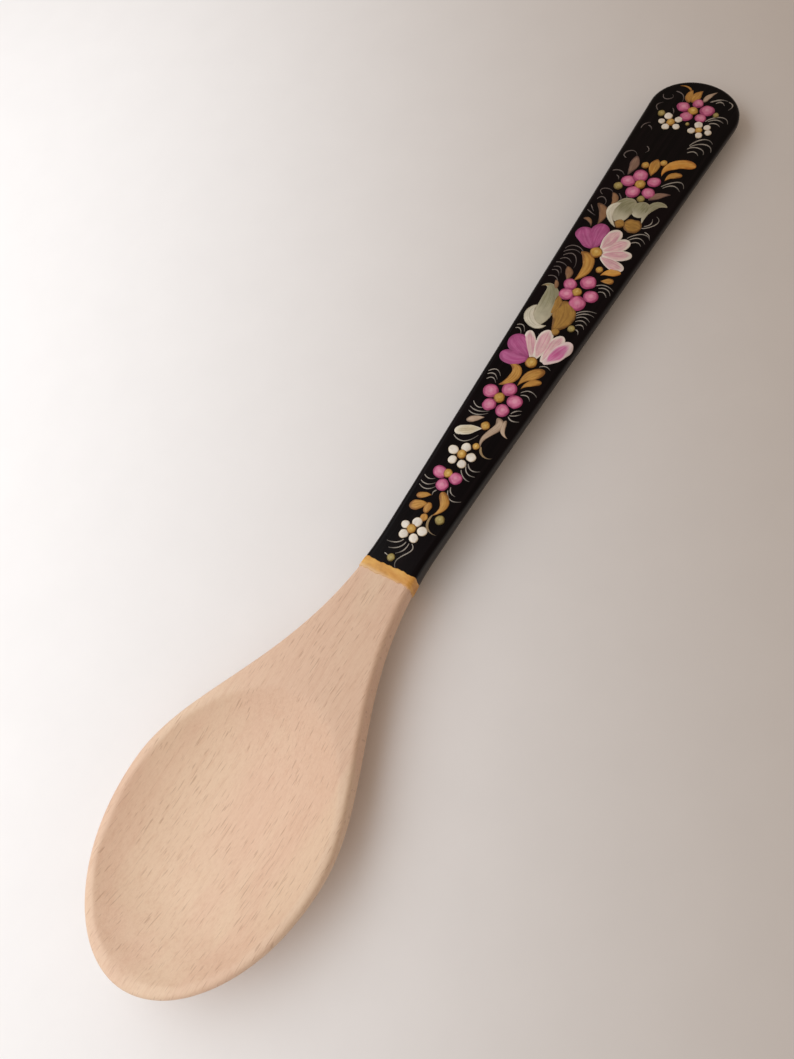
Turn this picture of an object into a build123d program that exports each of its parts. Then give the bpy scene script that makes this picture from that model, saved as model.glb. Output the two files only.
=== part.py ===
from build123d import *
from math import atan, cos, radians, sin
import os

# Hand-painted wooden spoon: one carved piece of beech, a black lacquer coat on the handle,
# an ochre band at its edge, and flowers laid on the lacquer in thick opaque paint.
# Lengths in millimetres. The spoon is drawn on its own plane, whose x runs from the bowl's
# tip to the handle's end, whose y runs across and whose z = 0 is the flat top of the wood.
# That plane leans by a few degrees, because the spoon lies on its bowl and its handle's end.

# Overall sizes
spoon_length = 320.0
bowl_width = 59.8
neck_width = 15.4
handle_end_width = 29.4
bowl_depth = 18.0
handle_thickness = 7.5
tip_thickness = 4.5

# Where things are along the spoon, measured from the bowl's tip
neck_from_tip = 133.0
widest_from_tip = 44.0
deepest_from_tip = 52.0
hollow_end_from_tip = 80.8
end_curve_length = 13.5

# Edges, hollow and flat
rim_width = 2.4
tip_rim_width = 2.6
hollow_depth = 10.6
top_arris = 1.5
bottom_arris = 2.2
hollow_arris = 0.6
back_flat_depth = 0.3

# Coats
lacquer = 0.2
band_paint = 0.3
band_width = 3.2
lacquer_from_tip = 122.0

# Flower paint: its thickness, the lean of its edges, and the finest brush's line
flower_paint = 0.35
paint_edge_lean = 20.0
hair_paint = 0.15
hair_width = 0.35
drawn_length = 198.0
drawn_end_width = 29.4

# Worked out from the sizes above
tip_x = -spoon_length / 2
end_x = spoon_length / 2
neck_x = tip_x + neck_from_tip
lacquer_x = tip_x + lacquer_from_tip
band_x = lacquer_x - band_width
painted_length = end_x - lacquer_x
deepest_x = tip_x + deepest_from_tip
handle_contact_x = end_x - bottom_arris
lean = atan((bowl_depth - back_flat_depth - handle_thickness - lacquer) / (handle_contact_x - deepest_x))
top_height = (bowl_depth * cos(lean) + deepest_x * sin(lean)) - back_flat_depth
flower_size = min(painted_length / drawn_length, handle_end_width / drawn_end_width)

# The spoon's own planes: the flat top, and the upright one along the middle
along = (cos(lean), 0, -sin(lean))
upward = (sin(lean), 0, cos(lean))
top_plane = Plane(origin=(0, 0, top_height), x_dir=along, z_dir=upward)
side_plane = Plane(origin=(0, 0, top_height), x_dir=along, z_dir=(0, -1, 0))
paint_plane = top_plane.offset(lacquer)

# The back is turned about a line this far above the top, so that it is round from side to
# side, and the hollow about another line
side_wall = 6.5
back_axis_height = ((bowl_width / 2) ** 2 + side_wall**2 - bowl_depth**2) / (2 * (bowl_depth - side_wall))
hollow_half_width = bowl_width / 2 - rim_width
hollow_axis_height = (hollow_half_width**2 - hollow_depth**2) / (2 * hollow_depth)


def plan_outline(grow):
    """The outline seen from above, made larger all round by the thickness of a coat."""
    half_bowl = bowl_width / 2 + grow
    half_neck = neck_width / 2 + grow
    half_end = handle_end_width / 2 + grow
    tip = tip_x - grow
    end = end_x + grow
    shoulder_x = end_x - end_curve_length
    taper = (half_end - half_neck) / (shoulder_x - neck_x)
    widest_x = tip_x + widest_from_tip
    neck_pull = 0.34 * neck_from_tip
    end_pull = 0.55 * end_curve_length
    with BuildSketch(mode=Mode.PRIVATE) as outline:
        with BuildLine():
            Bezier((tip, 0), (tip, 0.52 * half_bowl), (tip + 0.43 * widest_from_tip, half_bowl), (widest_x, half_bowl))
            Bezier(
                (widest_x, half_bowl),
                (widest_x + 0.27 * (neck_x - widest_x), half_bowl),
                (neck_x - neck_pull, half_neck - taper * neck_pull),
                (neck_x, half_neck),
            )
            Line((neck_x, half_neck), (shoulder_x, half_end))
            Bezier(
                (shoulder_x, half_end),
                (shoulder_x + end_pull, half_end + taper * end_pull),
                (end, 0.55 * half_end),
                (end, 0),
            )
            mirror(about=Plane.XZ)
        make_face()
    return outline.sketch


# The back's depth below the top along the middle, as shares of the way along and of the depth
BACK_RISE = [(0.22, 0.58), (0.55, 0.88)]
BACK_FALL = [(0.26, 0.93), (0.62, 0.66)]


def spoon_body(grow):
    """The spoon without its hollow, made larger all round by the thickness of a coat."""
    depths = [(tip_x - 4, 1.5), (tip_x, tip_thickness)]
    depths += [(tip_x + along_it * deepest_from_tip, share * bowl_depth) for along_it, share in BACK_RISE]
    depths.append((deepest_x, bowl_depth))
    depths += [(deepest_x + along_it * (neck_x - deepest_x), share * bowl_depth) for along_it, share in BACK_FALL]
    depths += [(neck_x + 3, handle_thickness + 1.2), (neck_x + 30, handle_thickness + 0.1)]
    depths += [(neck_x + 60, handle_thickness), (neck_x + 110, handle_thickness), (end_x + 5, handle_thickness)]
    # Drawn above its axis, so that the seam of the turned surface falls clear of the wood
    turned = [(x, 2 * back_axis_height + depth + grow) for x, depth in depths]
    with BuildPart(mode=Mode.PRIVATE) as body:
        with BuildSketch(top_plane.offset(grow)):
            add(plan_outline(grow))
        extrude(amount=-2 * bowl_depth)
        top_face = body.faces().sort_by(Axis(top_plane.origin, top_plane.z_dir))[-1]
        fillet(top_face.edges(), radius=top_arris + grow)
        with BuildSketch(side_plane):
            with BuildLine():
                back = Spline(*turned)
                Polyline(back @ 1, (end_x + 5, back_axis_height), (tip_x - 4, back_axis_height), back @ 0)
            make_face()
        revolve(axis=Axis(side_plane.from_local_coords((0, back_axis_height)), along), mode=Mode.INTERSECT)
        back_face = body.faces().filter_by(GeomType.REVOLUTION).sort_by(SortBy.AREA)[-1]
        fillet(back_face.edges(), radius=bottom_arris + grow)
    return body.part


def stretch(part, first_x, last_x):
    """The length of a body between two stations along the spoon."""
    with BuildPart(mode=Mode.PRIVATE) as piece:
        add(part)
        middle = top_plane.from_local_coords(((first_x + last_x) / 2, 0, 0))
        with Locations(Plane(origin=middle, x_dir=along, z_dir=upward)):
            Box(last_x - first_x, 2 * bowl_width, 4 * bowl_depth, mode=Mode.INTERSECT)
    return piece.part


# The beech blank: bowl, neck and handle carved in one piece, the hollow turned out of it and
# the back of the bowl worn to a small flat where it stands
HOLLOW_OUTLINE = [(0.09, 0.54), (0.26, 0.87), (0.51, 1.0), (0.68, 0.93), (0.83, 0.74), (0.93, 0.48)]
hollow_start_x = tip_x + tip_rim_width
hollow_length = hollow_end_from_tip - tip_rim_width
hollow_reach = [(hollow_start_x, 0)]
for share, out in HOLLOW_OUTLINE:
    hollow_reach.append((hollow_start_x + share * hollow_length, out * hollow_half_width))
hollow_reach.append((hollow_start_x + hollow_length, 0))
hollow_turned = [(x, hollow_axis_height + (y**2 + hollow_axis_height**2) ** 0.5) for x, y in hollow_reach]

with BuildPart() as spoon_blank:
    add(spoon_body(0))
    with BuildSketch(side_plane):
        with BuildLine():
            hollow_side = Spline(*hollow_turned)
            Polyline(
                hollow_side @ 1,
                (hollow_turned[-1][0], hollow_axis_height),
                (hollow_turned[0][0], hollow_axis_height),
                hollow_side @ 0,
            )
        make_face()
    revolve(axis=Axis(side_plane.from_local_coords((0, hollow_axis_height)), along), mode=Mode.SUBTRACT)
    mouth = spoon_blank.faces().filter_by(GeomType.REVOLUTION).sort_by(Axis.Z)[-1].edges()
    fillet(mouth, radius=hollow_arris)
    with Locations((0, 0, -bowl_depth)):
        Box(2 * spoon_length, 2 * bowl_width, 2 * bowl_depth, mode=Mode.SUBTRACT)
spoon_blank.part.label = "spoon_blank"

# The lacquer: a thin skin over the wood from the band to the handle's end
with BuildPart() as black_lacquer_coat:
    add(stretch(spoon_body(lacquer), lacquer_x, end_x + handle_thickness))
    add(spoon_body(0), mode=Mode.SUBTRACT)
black_lacquer_coat.part.label = "black_lacquer_coat"

# The ochre band: a brushed ring that hides the lacquer's edge
with BuildPart() as ochre_band:
    add(stretch(spoon_body(band_paint), band_x, lacquer_x))
    add(spoon_body(0), mode=Mode.SUBTRACT)
ochre_band.part.label = "ochre_band"


# The flat of the handle that the flowers are painted on, inside its rounded arris
painted_flat = plan_outline(-top_arris)


def spot(from_band, across):
    """A place on the painted panel, drawn at full size and stretched with the handle."""
    return (lacquer_x + from_band * painted_length / drawn_length, across * flower_size)


def leaf(length, width, bend):
    """A leaf or petal in one press of a round brush, from its root along x."""
    with BuildSketch(mode=Mode.PRIVATE) as shape:
        with BuildLine():
            ThreePointArc((0, 0), (length / 2, bend + width / 2), (length, 0))
            ThreePointArc((0, 0), (length / 2, bend - width / 2), (length, 0))
        make_face()
    return scale(shape.sketch, by=flower_size)


def blossoms(rings, round_share):
    """Five dabs of the brush round each centre, as solids on the lacquer."""
    with BuildPart(mode=Mode.PRIVATE) as dabs:
        with BuildSketch(paint_plane):
            for from_band, across, ring, turn in rings:
                radius = ring * flower_size
                with Locations(spot(from_band, across)):
                    with PolarLocations(radius, 5, start_angle=turn):
                        Ellipse(round_share * radius, 0.46 * radius)
            add(painted_flat, mode=Mode.INTERSECT)
        extrude(amount=flower_paint, taper=paint_edge_lean)
    return dabs.part


def dots(places):
    """Round dots, each a touch of the brush's end."""
    with BuildPart(mode=Mode.PRIVATE) as touches:
        with BuildSketch(paint_plane):
            for from_band, across, radius in places:
                with Locations(spot(from_band, across)):
                    Circle(radius * flower_size)
            add(painted_flat, mode=Mode.INTERSECT)
        extrude(amount=flower_paint, taper=paint_edge_lean)
    return touches.part


def leaves(strokes, laid_under):
    """Leaves or petals, cut back where paint laid later covers them."""
    shapes = []
    for from_band, across, turn, length, width, bend in strokes:
        place = Location((*spot(from_band, across), 0), (0, 0, turn))
        shapes.append(leaf(length, width, bend).moved(place))
    with BuildPart(mode=Mode.PRIVATE) as presses:
        with BuildSketch(paint_plane):
            add(shapes)
            add(painted_flat, mode=Mode.INTERSECT)
        extrude(amount=flower_paint)
        for upper in laid_under:
            add(upper, mode=Mode.SUBTRACT)
    return presses.part


def hair_fans(fans, laid_under):
    """Fans of fine strokes spreading from one point."""
    with BuildPart(mode=Mode.PRIVATE) as hairs:
        with BuildSketch(paint_plane):
            for from_band, across, turn, length, count in fans:
                x, y = spot(from_band, across)
                reach = (fan_root + length / 2) * flower_size
                for number in range(count):
                    angle = turn + fan_step * (number - (count - 1) / 2)
                    middle = (x + reach * cos(radians(angle)), y + reach * sin(radians(angle)))
                    with Locations(middle):
                        Rectangle(length * flower_size, hair_width * flower_size, rotation=angle)
            add(painted_flat, mode=Mode.INTERSECT)
        extrude(amount=hair_paint)
        for upper in laid_under:
            add(upper, mode=Mode.SUBTRACT)
    return hairs.part


fan_root = 1.6
fan_step = 14.0

# Flowers. Each is given by how far it is from the band and from the middle line, then its size
# and turn. Paint laid last is made first, and cuts what lies under it.
with BuildPart() as pink_blossoms:
    add(blossoms([(185, 0.2, 3.7, 96), (149.5, 1.2, 4.0, 92), (104, -1.1, 4.3, 60), (61, 0.7, 4.0, 77)], 0.42))
pink_blossoms.part.label = "pink_blossoms"

with BuildPart() as white_blossoms:
    add(blossoms([(177.5, 5.0, 2.8, 26), (178, -5.3, 2.6, 18), (39.5, 0.8, 2.9, 88), (13, 0.9, 2.7, 80)], 0.42))
white_blossoms.part.label = "white_blossoms"

with BuildPart() as blossom_centres:
    add(
        dots(
            [
                (185, 0.2, 1.0),
                (149.5, 1.2, 1.1),
                (104, -1.1, 1.2),
                (61, 0.7, 1.1),
                (177.5, 5.0, 0.8),
                (178, -5.3, 0.7),
                (39.5, 0.8, 0.8),
                (13, 0.9, 0.75),
            ]
        )
    )
blossom_centres.part.label = "blossom_centres"

with BuildPart() as three_dab_blossom:
    add(dots([(31.8, 3.3, 1.5), (32.2, -1.4, 1.5), (28.6, 0.8, 1.5)]))
three_dab_blossom.part.label = "three_dab_blossom"

with BuildPart() as large_flower_centres:
    add(dots([(120, 0.8, 1.4), (75.6, -1.2, 1.4)]))
large_flower_centres.part.label = "large_flower_centres"

# Round berries
with BuildPart() as ochre_berries:
    add(dots([(160.8, -1.4, 0.75), (114.6, -3.2, 0.8), (51, -0.4, 0.9), (43.8, -1.4, 0.7), (20.8, 0.6, 1.0)]))
ochre_berries.part.label = "ochre_berries"

with BuildPart() as olive_berries:
    add(dots([(180.2, 9.3, 0.8), (157.6, 3.9, 0.7), (146.2, 7.4, 0.8), (144.6, -2.6, 0.6), (19.2, -4.4, 0.9)]))
    add(dots([(2.9, 1.4, 0.7), (91.4, -6.1, 0.7), (186, -7.5, 0.7)]))
olive_berries.part.label = "olive_berries"

# What each later-listed stroke lies under
covering = [pink_blossoms.part, white_blossoms.part, blossom_centres.part, three_dab_blossom.part]
covering += [large_flower_centres.part, ochre_berries.part, olive_berries.part]

# The two large flowers: two magenta petals to one side of each and paler ones to the other
with BuildPart() as magenta_petals:
    add(leaves([(121.5, 2.0, 62, 8.0, 4.6, 0), (121.8, 0.9, 28, 8.0, 4.0, 0)], covering))
    add(leaves([(77.6, -0.3, 60, 9.5, 4.0, 0.5), (75.2, 0.6, 92, 8.5, 4.0, 0.5)], covering))
magenta_petals.part.label = "magenta_petals"
covering.append(magenta_petals.part)

with BuildPart() as pale_petals:
    add(leaves([(122, 0.0, -12, 8.5, 3.0, 0), (121.4, -0.9, -40, 9.0, 3.2, 0)], covering))
    add(leaves([(120.5, -1.4, -68, 9.0, 3.2, 0), (119.2, -1.3, -96, 9.5, 3.0, 0)], covering))
    add(leaves([(78, -0.9, 33, 8.0, 3.4, 0), (78, -1.6, 5, 9.0, 3.4, 0), (77.4, -2.3, -22, 9.0, 3.2, 0)], covering))
pale_petals.part.label = "pale_petals"
covering.append(pale_petals.part)

with BuildPart() as rose_petal:
    add(leaves([(77, -2.9, -56, 10.5, 4.6, 0.6)], covering))
rose_petal.part.label = "rose_petal"
covering.append(rose_petal.part)

# Leaves and buds
with BuildPart() as ochre_leaves:
    add(leaves([(190.6, -0.6, 70, 7.0, 3.4, 1.2), (155.0, -3.2, -43, 10.5, 3.4, 0.6)], covering))
    add(leaves([(153.6, -5.6, -44, 5.4, 1.6, -0.6), (154.6, -0.4, 14, 6.0, 1.6, 0.3)], covering))
    add(leaves([(112.4, -3.9, -88, 7.0, 2.0, 0.8), (111.4, -5.4, -42, 7.0, 2.4, 0.4)], covering))
    add(leaves([(109.4, -6.0, -40, 4.6, 1.4, -0.6), (72, 0.8, -98, 9.6, 2.4, -0.8)], covering))
    add(leaves([(69.4, -1.2, -92, 7.4, 1.6, -0.5), (23.6, 5.8, -80, 4.6, 1.6, 0.3)], covering))
    add(leaves([(19.2, 5.6, -82, 7.6, 1.8, -0.6)], covering))
ochre_leaves.part.label = "ochre_leaves"
covering.append(ochre_leaves.part)

with BuildPart() as brown_leaves:
    add(leaves([(191.2, -1.6, -32, 6.4, 2.0, -0.5), (142.6, 7.2, 190, 4.6, 1.6, 0.3)], covering))
    add(leaves([(136.8, 9.4, 212, 7.0, 2.2, 0.4), (117.8, 4.2, -125, 9.0, 2.4, 1.8)], covering))
    add(leaves([(106.4, 4.8, 8, 5.0, 1.6, 0.3), (71.2, 7.2, -110, 8.6, 2.2, 1.0)], covering))
brown_leaves.part.label = "brown_leaves"
covering.append(brown_leaves.part)

with BuildPart() as mauve_leaves:
    add(leaves([(159.4, 9.6, 200, 7.6, 2.4, 0.8), (145.8, -3.8, -45, 7.4, 2.2, 0.5)], covering))
mauve_leaves.part.label = "mauve_leaves"
covering.append(mauve_leaves.part)

with BuildPart() as cream_leaves:
    add(leaves([(46.6, 8.0, -92, 8.6, 2.2, -0.5), (50.4, 5.2, -36, 5.6, 1.4, 0.2)], covering))
    add(leaves([(54.6, -3.0, 168, 7.4, 1.8, 0.5), (54.4, -4.2, 228, 5.6, 1.6, 0.2)], covering))
cream_leaves.part.label = "cream_leaves"
covering.append(cream_leaves.part)

with BuildPart() as bud_shells:
    add(leaves([(138.6, 7.4, -118, 8.6, 3.6, -0.6), (139.2, -4.2, -42, 9.2, 2.8, 0.8)], covering))
    add(leaves([(101.6, 9.6, 162, 11.4, 3.8, 0.6)], covering))
bud_shells.part.label = "bud_shells"
covering.append(bud_shells.part)

with BuildPart() as bud_cups:
    add(leaves([(132.4, 1.6, -120, 8.6, 3.2, 0.8), (96.4, 5.8, -148, 8.4, 3.8, 0.6)], covering))
    add(dots([(88.6, -1.8, 0.9)]))
bud_cups.part.label = "bud_cups"
covering.append(bud_cups.part)

with BuildPart() as curled_stems:
    add(leaves([(26.6, -0.8, 200, 10.4, 1.8, 1.6), (16.2, -3.2, 245, 3.6, 0.9, 0.4)], covering))
    add(leaves([(8.9, -1.6, 190, 9.6, 0.9, 0.8)], covering))
curled_stems.part.label = "curled_stems"
covering.append(curled_stems.part)

# Fine white strokes
with BuildPart() as upper_hair_fans:
    add(hair_fans([(189.4, -3.6, -58, 6.0, 4), (181.8, -8.4, -70, 3.6, 3), (172.2, -5.6, -112, 6.0, 5)], covering))
    add(hair_fans([(150.6, -4.4, -78, 6.0, 4), (131.4, -5.4, -120, 5.6, 4)], covering))
upper_hair_fans.part.label = "upper_hair_fans"

with BuildPart() as lower_hair_fans:
    add(hair_fans([(106.2, -6.6, -76, 3.8, 4), (96.0, -5.0, -110, 5.6, 5)], covering))
    add(hair_fans([(55.4, 2.2, 100, 5.4, 4), (64.6, -3.6, -78, 5.0, 4), (57.6, -3.4, -110, 4.8, 3)], covering))
    add(hair_fans([(35.8, -2.2, -104, 4.6, 4), (27.6, 3.4, 104, 4.0, 3), (8.6, 2.4, 128, 4.6, 4)], covering))
lower_hair_fans.part.label = "lower_hair_fans"

pieces = [
    spoon_blank,
    black_lacquer_coat,
    ochre_band,
    pink_blossoms,
    white_blossoms,
    blossom_centres,
    three_dab_blossom,
    large_flower_centres,
    magenta_petals,
    pale_petals,
    rose_petal,
    ochre_berries,
    olive_berries,
    ochre_leaves,
    brown_leaves,
    mauve_leaves,
    cream_leaves,
    bud_shells,
    bud_cups,
    curled_stems,
    upper_hair_fans,
    lower_hair_fans,
]
os.makedirs("parts", exist_ok=True)
for piece in pieces:
    export_step(piece.part, "parts/" + piece.part.label + ".step")
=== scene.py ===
import math

import bpy
import numpy as np
from mathutils import Matrix, Vector, kdtree, noise


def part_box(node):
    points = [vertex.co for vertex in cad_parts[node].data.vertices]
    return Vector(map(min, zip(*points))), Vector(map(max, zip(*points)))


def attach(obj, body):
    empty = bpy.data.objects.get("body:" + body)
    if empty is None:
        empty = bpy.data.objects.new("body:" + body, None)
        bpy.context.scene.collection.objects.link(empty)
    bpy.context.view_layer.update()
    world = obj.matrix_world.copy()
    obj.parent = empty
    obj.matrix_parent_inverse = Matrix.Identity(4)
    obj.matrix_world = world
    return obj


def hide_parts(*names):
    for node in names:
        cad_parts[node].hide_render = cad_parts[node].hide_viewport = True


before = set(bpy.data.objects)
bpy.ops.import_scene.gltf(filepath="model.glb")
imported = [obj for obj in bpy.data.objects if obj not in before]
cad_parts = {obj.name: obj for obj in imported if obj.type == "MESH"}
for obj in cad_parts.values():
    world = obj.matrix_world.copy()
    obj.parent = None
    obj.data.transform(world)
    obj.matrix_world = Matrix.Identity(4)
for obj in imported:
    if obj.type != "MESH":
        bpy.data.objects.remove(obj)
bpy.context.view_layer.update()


# ---------------------------------------------------------------- the beech blank
# The spoon is one piece of beech: an oval bowl hollowed from its flat top, a slim neck and a
# handle that widens to a round end. It is carved, sanded smooth and left bare at the bowl.

# The spoon's own directions: along from tip to end, across to the left, up from its flat top.
# Its two ends and the half width of its bowl are those of the CAD blank and coat.
MM = 0.001
COAT = 0.2
TIP = round(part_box("spoon_blank")[0].x / MM, 1)
END = round(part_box("black_lacquer_coat")[1].x / MM, 1)
BOWL_HALF = round(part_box("spoon_blank")[1].y / MM, 2)
NECK_HALF = 7.7
END_HALF = 14.7
NECK = -27.0
WIDEST = -116.0
SHOULDER = 146.5
TOP_ARRIS = 1.5
BACK_ARRIS = 2.2
BOWL_DEPTH = 18.0
DEEPEST = -108.0
BACK_FLAT = 0.3
HANDLE_DEEP = 7.5
LEAN = math.atan((BOWL_DEPTH - BACK_FLAT - HANDLE_DEEP - COAT) / (END - BACK_ARRIS - DEEPEST))
TOP_HEIGHT = BOWL_DEPTH * math.cos(LEAN) + DEEPEST * math.sin(LEAN) - BACK_FLAT
TAPER = (END_HALF - NECK_HALF) / (SHOULDER - NECK)


def lay(points):
    """From the spoon's own millimetres to the place where it lies, in metres."""
    p = np.asarray(points, float)
    out = np.empty_like(p)
    out[:, 0] = p[:, 0] * math.cos(LEAN) + p[:, 2] * math.sin(LEAN)
    out[:, 1] = p[:, 1]
    out[:, 2] = TOP_HEIGHT - p[:, 0] * math.sin(LEAN) + p[:, 2] * math.cos(LEAN)
    return out * MM


def bezier(ends, count):
    a, b, c, d = [np.array(e, float) for e in ends]
    t = np.linspace(0, 1, count)[:, None]
    return a * (1 - t) ** 3 + 3 * b * t * (1 - t) ** 2 + 3 * c * t * t * (1 - t) + d * t**3


def half_outline():
    """The left side of the outline from tip to end, as closely spaced points."""
    neck_pull = 45.2
    end_pull = 7.4
    runs = [
        bezier([(TIP, 0), (TIP, 0.52 * BOWL_HALF), (TIP + 18.9, BOWL_HALF), (WIDEST, BOWL_HALF)],
               900),
        bezier(
            [
                (WIDEST, BOWL_HALF),
                (WIDEST + 24.0, BOWL_HALF),
                (NECK - neck_pull, NECK_HALF - TAPER * neck_pull),
                (NECK, NECK_HALF),
            ],
            1400,
        )[1:],
        bezier(
            [
                (NECK, NECK_HALF),
                (NECK + 57.8, NECK_HALF + 57.8 * TAPER),
                (NECK + 115.7, NECK_HALF + 115.7 * TAPER),
                (SHOULDER, END_HALF),
            ],
            2400,
        )[1:],
        bezier(
            [
                (SHOULDER, END_HALF),
                (SHOULDER + end_pull, END_HALF + TAPER * end_pull),
                (END, 0.55 * END_HALF),
                (END, 0),
            ],
            500,
        )[1:],
    ]
    return np.vstack(runs)


OUTLINE = half_outline()
OUTLINE_RUN = np.concatenate([[0], np.cumsum(np.hypot(*np.diff(OUTLINE, axis=0).T))])
OUTLINE_TREE = kdtree.KDTree(2 * len(OUTLINE))
for number, (x, y) in enumerate(OUTLINE):
    OUTLINE_TREE.insert((x, y, 0), 2 * number)
    OUTLINE_TREE.insert((x, -y, 0), 2 * number + 1)
OUTLINE_TREE.balance()


def half_width(x):
    return float(np.interp(x, OUTLINE[:, 0], OUTLINE[:, 1]))


def from_edge(x, y):
    """How far inside the outline a place is."""
    return OUTLINE_TREE.find((x, y, 0))[2]


def smooth_through(knots):
    """A curve through the knots that never overshoots between them."""
    xs = np.array([k[0] for k in knots], float)
    ys = np.array([k[1] for k in knots], float)
    step = np.diff(xs)
    rise = np.diff(ys) / step
    slope = np.zeros(len(xs))
    for i in range(1, len(xs) - 1):
        if rise[i - 1] * rise[i] > 0:
            w1 = 2 * step[i] + step[i - 1]
            w2 = step[i] + 2 * step[i - 1]
            slope[i] = (w1 + w2) / (w1 / rise[i - 1] + w2 / rise[i])
    slope[0] = rise[0]
    slope[-1] = rise[-1]

    def at(x):
        i = np.clip(np.searchsorted(xs, x) - 1, 0, len(step) - 1)
        t = (x - xs[i]) / step[i]
        h = step[i]
        return (
            ys[i] * (1 + 2 * t) * (1 - t) ** 2
            + slope[i] * h * t * (1 - t) ** 2
            + ys[i + 1] * t * t * (3 - 2 * t)
            + slope[i + 1] * h * t * t * (t - 1)
        )

    return at


BACK_DEPTH = smooth_through(
    [(-166, 2.0), (TIP, 4.5), (-148.6, 10.4), (-131.4, 15.84), (-108, 18.0), (-86.9, 16.7),
     (-57.8, 11.9),
     (-24, 8.7), (3, 7.6), (33, 7.5), (83, 7.5), (166, 7.5)]
)
BACK_AXIS = 26.6
HOLLOW_AXIS = 30.37
HOLLOW_RADIUS = smooth_through(
    [(-163, 29.2), (-157.4, 30.37), (-150.4, 33.8), (-137.1, 38.6), (-117.5, 40.95),
     (-104.2, 39.75), (-92.5, 36.55),
     (-84.7, 33.1), (-79.2, 30.37), (-72, 26.6)]
)


def top_height(x, y, coat=0.0):
    """The top: flat, rounded down at the outline and sunk to the hollow in the bowl."""
    inside = from_edge(x, y)
    height = 0.0
    if inside < TOP_ARRIS:
        height = -(TOP_ARRIS - math.sqrt(max(TOP_ARRIS**2 - (TOP_ARRIS - inside) ** 2, 0)))
    if x < -70:
        radius = float(HOLLOW_RADIUS(x))
        depth = math.sqrt(max(radius**2 - y * y, 0)) - HOLLOW_AXIS
        ease = 0.22 + 0.42 * max(0.0, min(1.0, (x + 105) / 22))
        height -= (depth + math.sqrt(depth * depth + ease * ease)) / 2
        height += 0.04 * noise.noise(Vector((x / 9, y / 7, 3.1)))
    return height + coat


def back_height(x, y, coat=0.0):
    """The back: round from side to side, and rounded up to the sides."""
    turned = BACK_AXIS + float(BACK_DEPTH(x)) + coat
    deep = math.sqrt(max(turned**2 - y * y, 0)) - BACK_AXIS
    inside = from_edge(x, y)
    if inside < BACK_ARRIS:
        lift = BACK_ARRIS - math.sqrt(max(BACK_ARRIS**2 - (BACK_ARRIS - inside) ** 2, 0))
        deep -= min(lift, 0.55 * deep)
    return -deep


def round_section(x, k, coat, across, back_across):
    """The k-th place round the section: across the top from the left, then back under it."""
    half = half_width(x)
    if k < across:
        even = 1 - 2 * (k + 0.5) / across
        y = half * (0.65 * even + 0.35 * math.sin(even * math.pi / 2))
        z = top_height(x, y, coat)
    elif across + 4 <= k < across + 4 + back_across:
        even = 2 * (k - across - 4 + 0.5) / back_across - 1
        y = half * (0.55 * even + 0.45 * math.sin(even * math.pi / 2))
        z = back_height(x, y, coat)
    else:
        edge_top = top_height(x, half)
        edge_back = back_height(x, half, coat)
        if k < across + 4:
            y = -half
            z = edge_top + (edge_back - edge_top) * (k - across + 0.5) / 4
        else:
            y = half
            z = edge_back + (edge_top - edge_back) * (k - across - back_across - 4 + 0.5) / 4
    if half > 1:
        y *= 1 + coat / half
    return y, z


def ball_places(mesh, segments, rings):
    """For each corner of a fresh ball: how many rings from its top, and how far round."""
    co = np.empty(len(mesh.vertices) * 3)
    mesh.vertices.foreach_get("co", co)
    co = co.reshape(-1, 3)
    polar = np.arccos(np.clip(co[:, 2], -1, 1))
    ring = np.rint(polar / math.pi * rings).astype(int)
    spin = np.mod(np.arctan2(co[:, 1], co[:, 0]), 2 * math.pi)
    slot = np.mod(-np.rint(spin / (2 * math.pi) * segments).astype(int), segments)
    return ring, slot


def new_ball(name, segments, rings):
    bpy.ops.mesh.primitive_uv_sphere_add(segments=segments, ring_count=rings, radius=1)
    piece = bpy.context.object
    piece.name = name
    piece.data.name = name
    return piece


def set_places(piece, spots):
    piece.data.vertices.foreach_set("co", spots.astype(float).ravel())
    piece.data.update()
    bpy.ops.object.shade_smooth()


def spoon_skin(name, start, coat, rings, across, back_across):
    """A closed skin of the spoon from a station to the end, ring by ring round it."""
    run_start = float(np.interp(start, OUTLINE[:, 0], OUTLINE_RUN))
    runs = np.linspace(run_start, OUTLINE_RUN[-1], rings + 2)[1:-1]
    segments = across + back_across + 8
    piece = new_ball(name, segments, rings + 1)
    ring, slot = ball_places(piece.data, segments, rings + 1)
    places = np.zeros((rings + 2, segments, 3))
    for r in range(1, rings + 1):
        x = float(np.interp(runs[r - 1], OUTLINE_RUN, OUTLINE[:, 0]))
        for k in range(segments):
            places[r, k] = (x, *round_section(x, k, coat, across, back_across))
    for r, x in ((0, start), (rings + 1, END + coat)):
        near = places[1 if r == 0 else rings]
        places[r, :] = (x, 0, near[:, 2].mean())
    spots = lay(places[ring, slot])
    spots[:, 2] = np.maximum(spots[:, 2], 0.0)
    set_places(piece, spots)
    return piece


def srgb(r, g, b):
    """A paint colour from its 0 to 255 shade."""
    out = []
    for c in (r, g, b):
        c /= 255
        out.append(c / 12.92 if c <= 0.04045 else ((c + 0.055) / 1.055) ** 2.4)
    return (*out, 1)


def new_material(name):
    mat = bpy.data.materials.new(name)
    mat.use_nodes = True
    return mat, mat.node_tree, mat.node_tree.nodes["Principled BSDF"]


def node(tree, kind, **settings):
    made = tree.nodes.new(kind)
    for key, value in settings.items():
        setattr(made, key, value)
    return made


def fill(made, **values):
    for key, value in values.items():
        made.inputs[key.replace("_", " ")].default_value = value
    return made


def mixed(tree, factor, first, second, blend="MIX"):
    """A colour mix. Each of the three may be a socket or a plain value."""
    made = node(tree, "ShaderNodeMix", data_type="RGBA", blend_type=blend)
    for spot, value in ((0, factor), (6, first), (7, second)):
        if isinstance(value, bpy.types.NodeSocket):
            tree.links.new(value, made.inputs[spot])
        else:
            made.inputs[spot].default_value = value
    return made.outputs[2]


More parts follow.
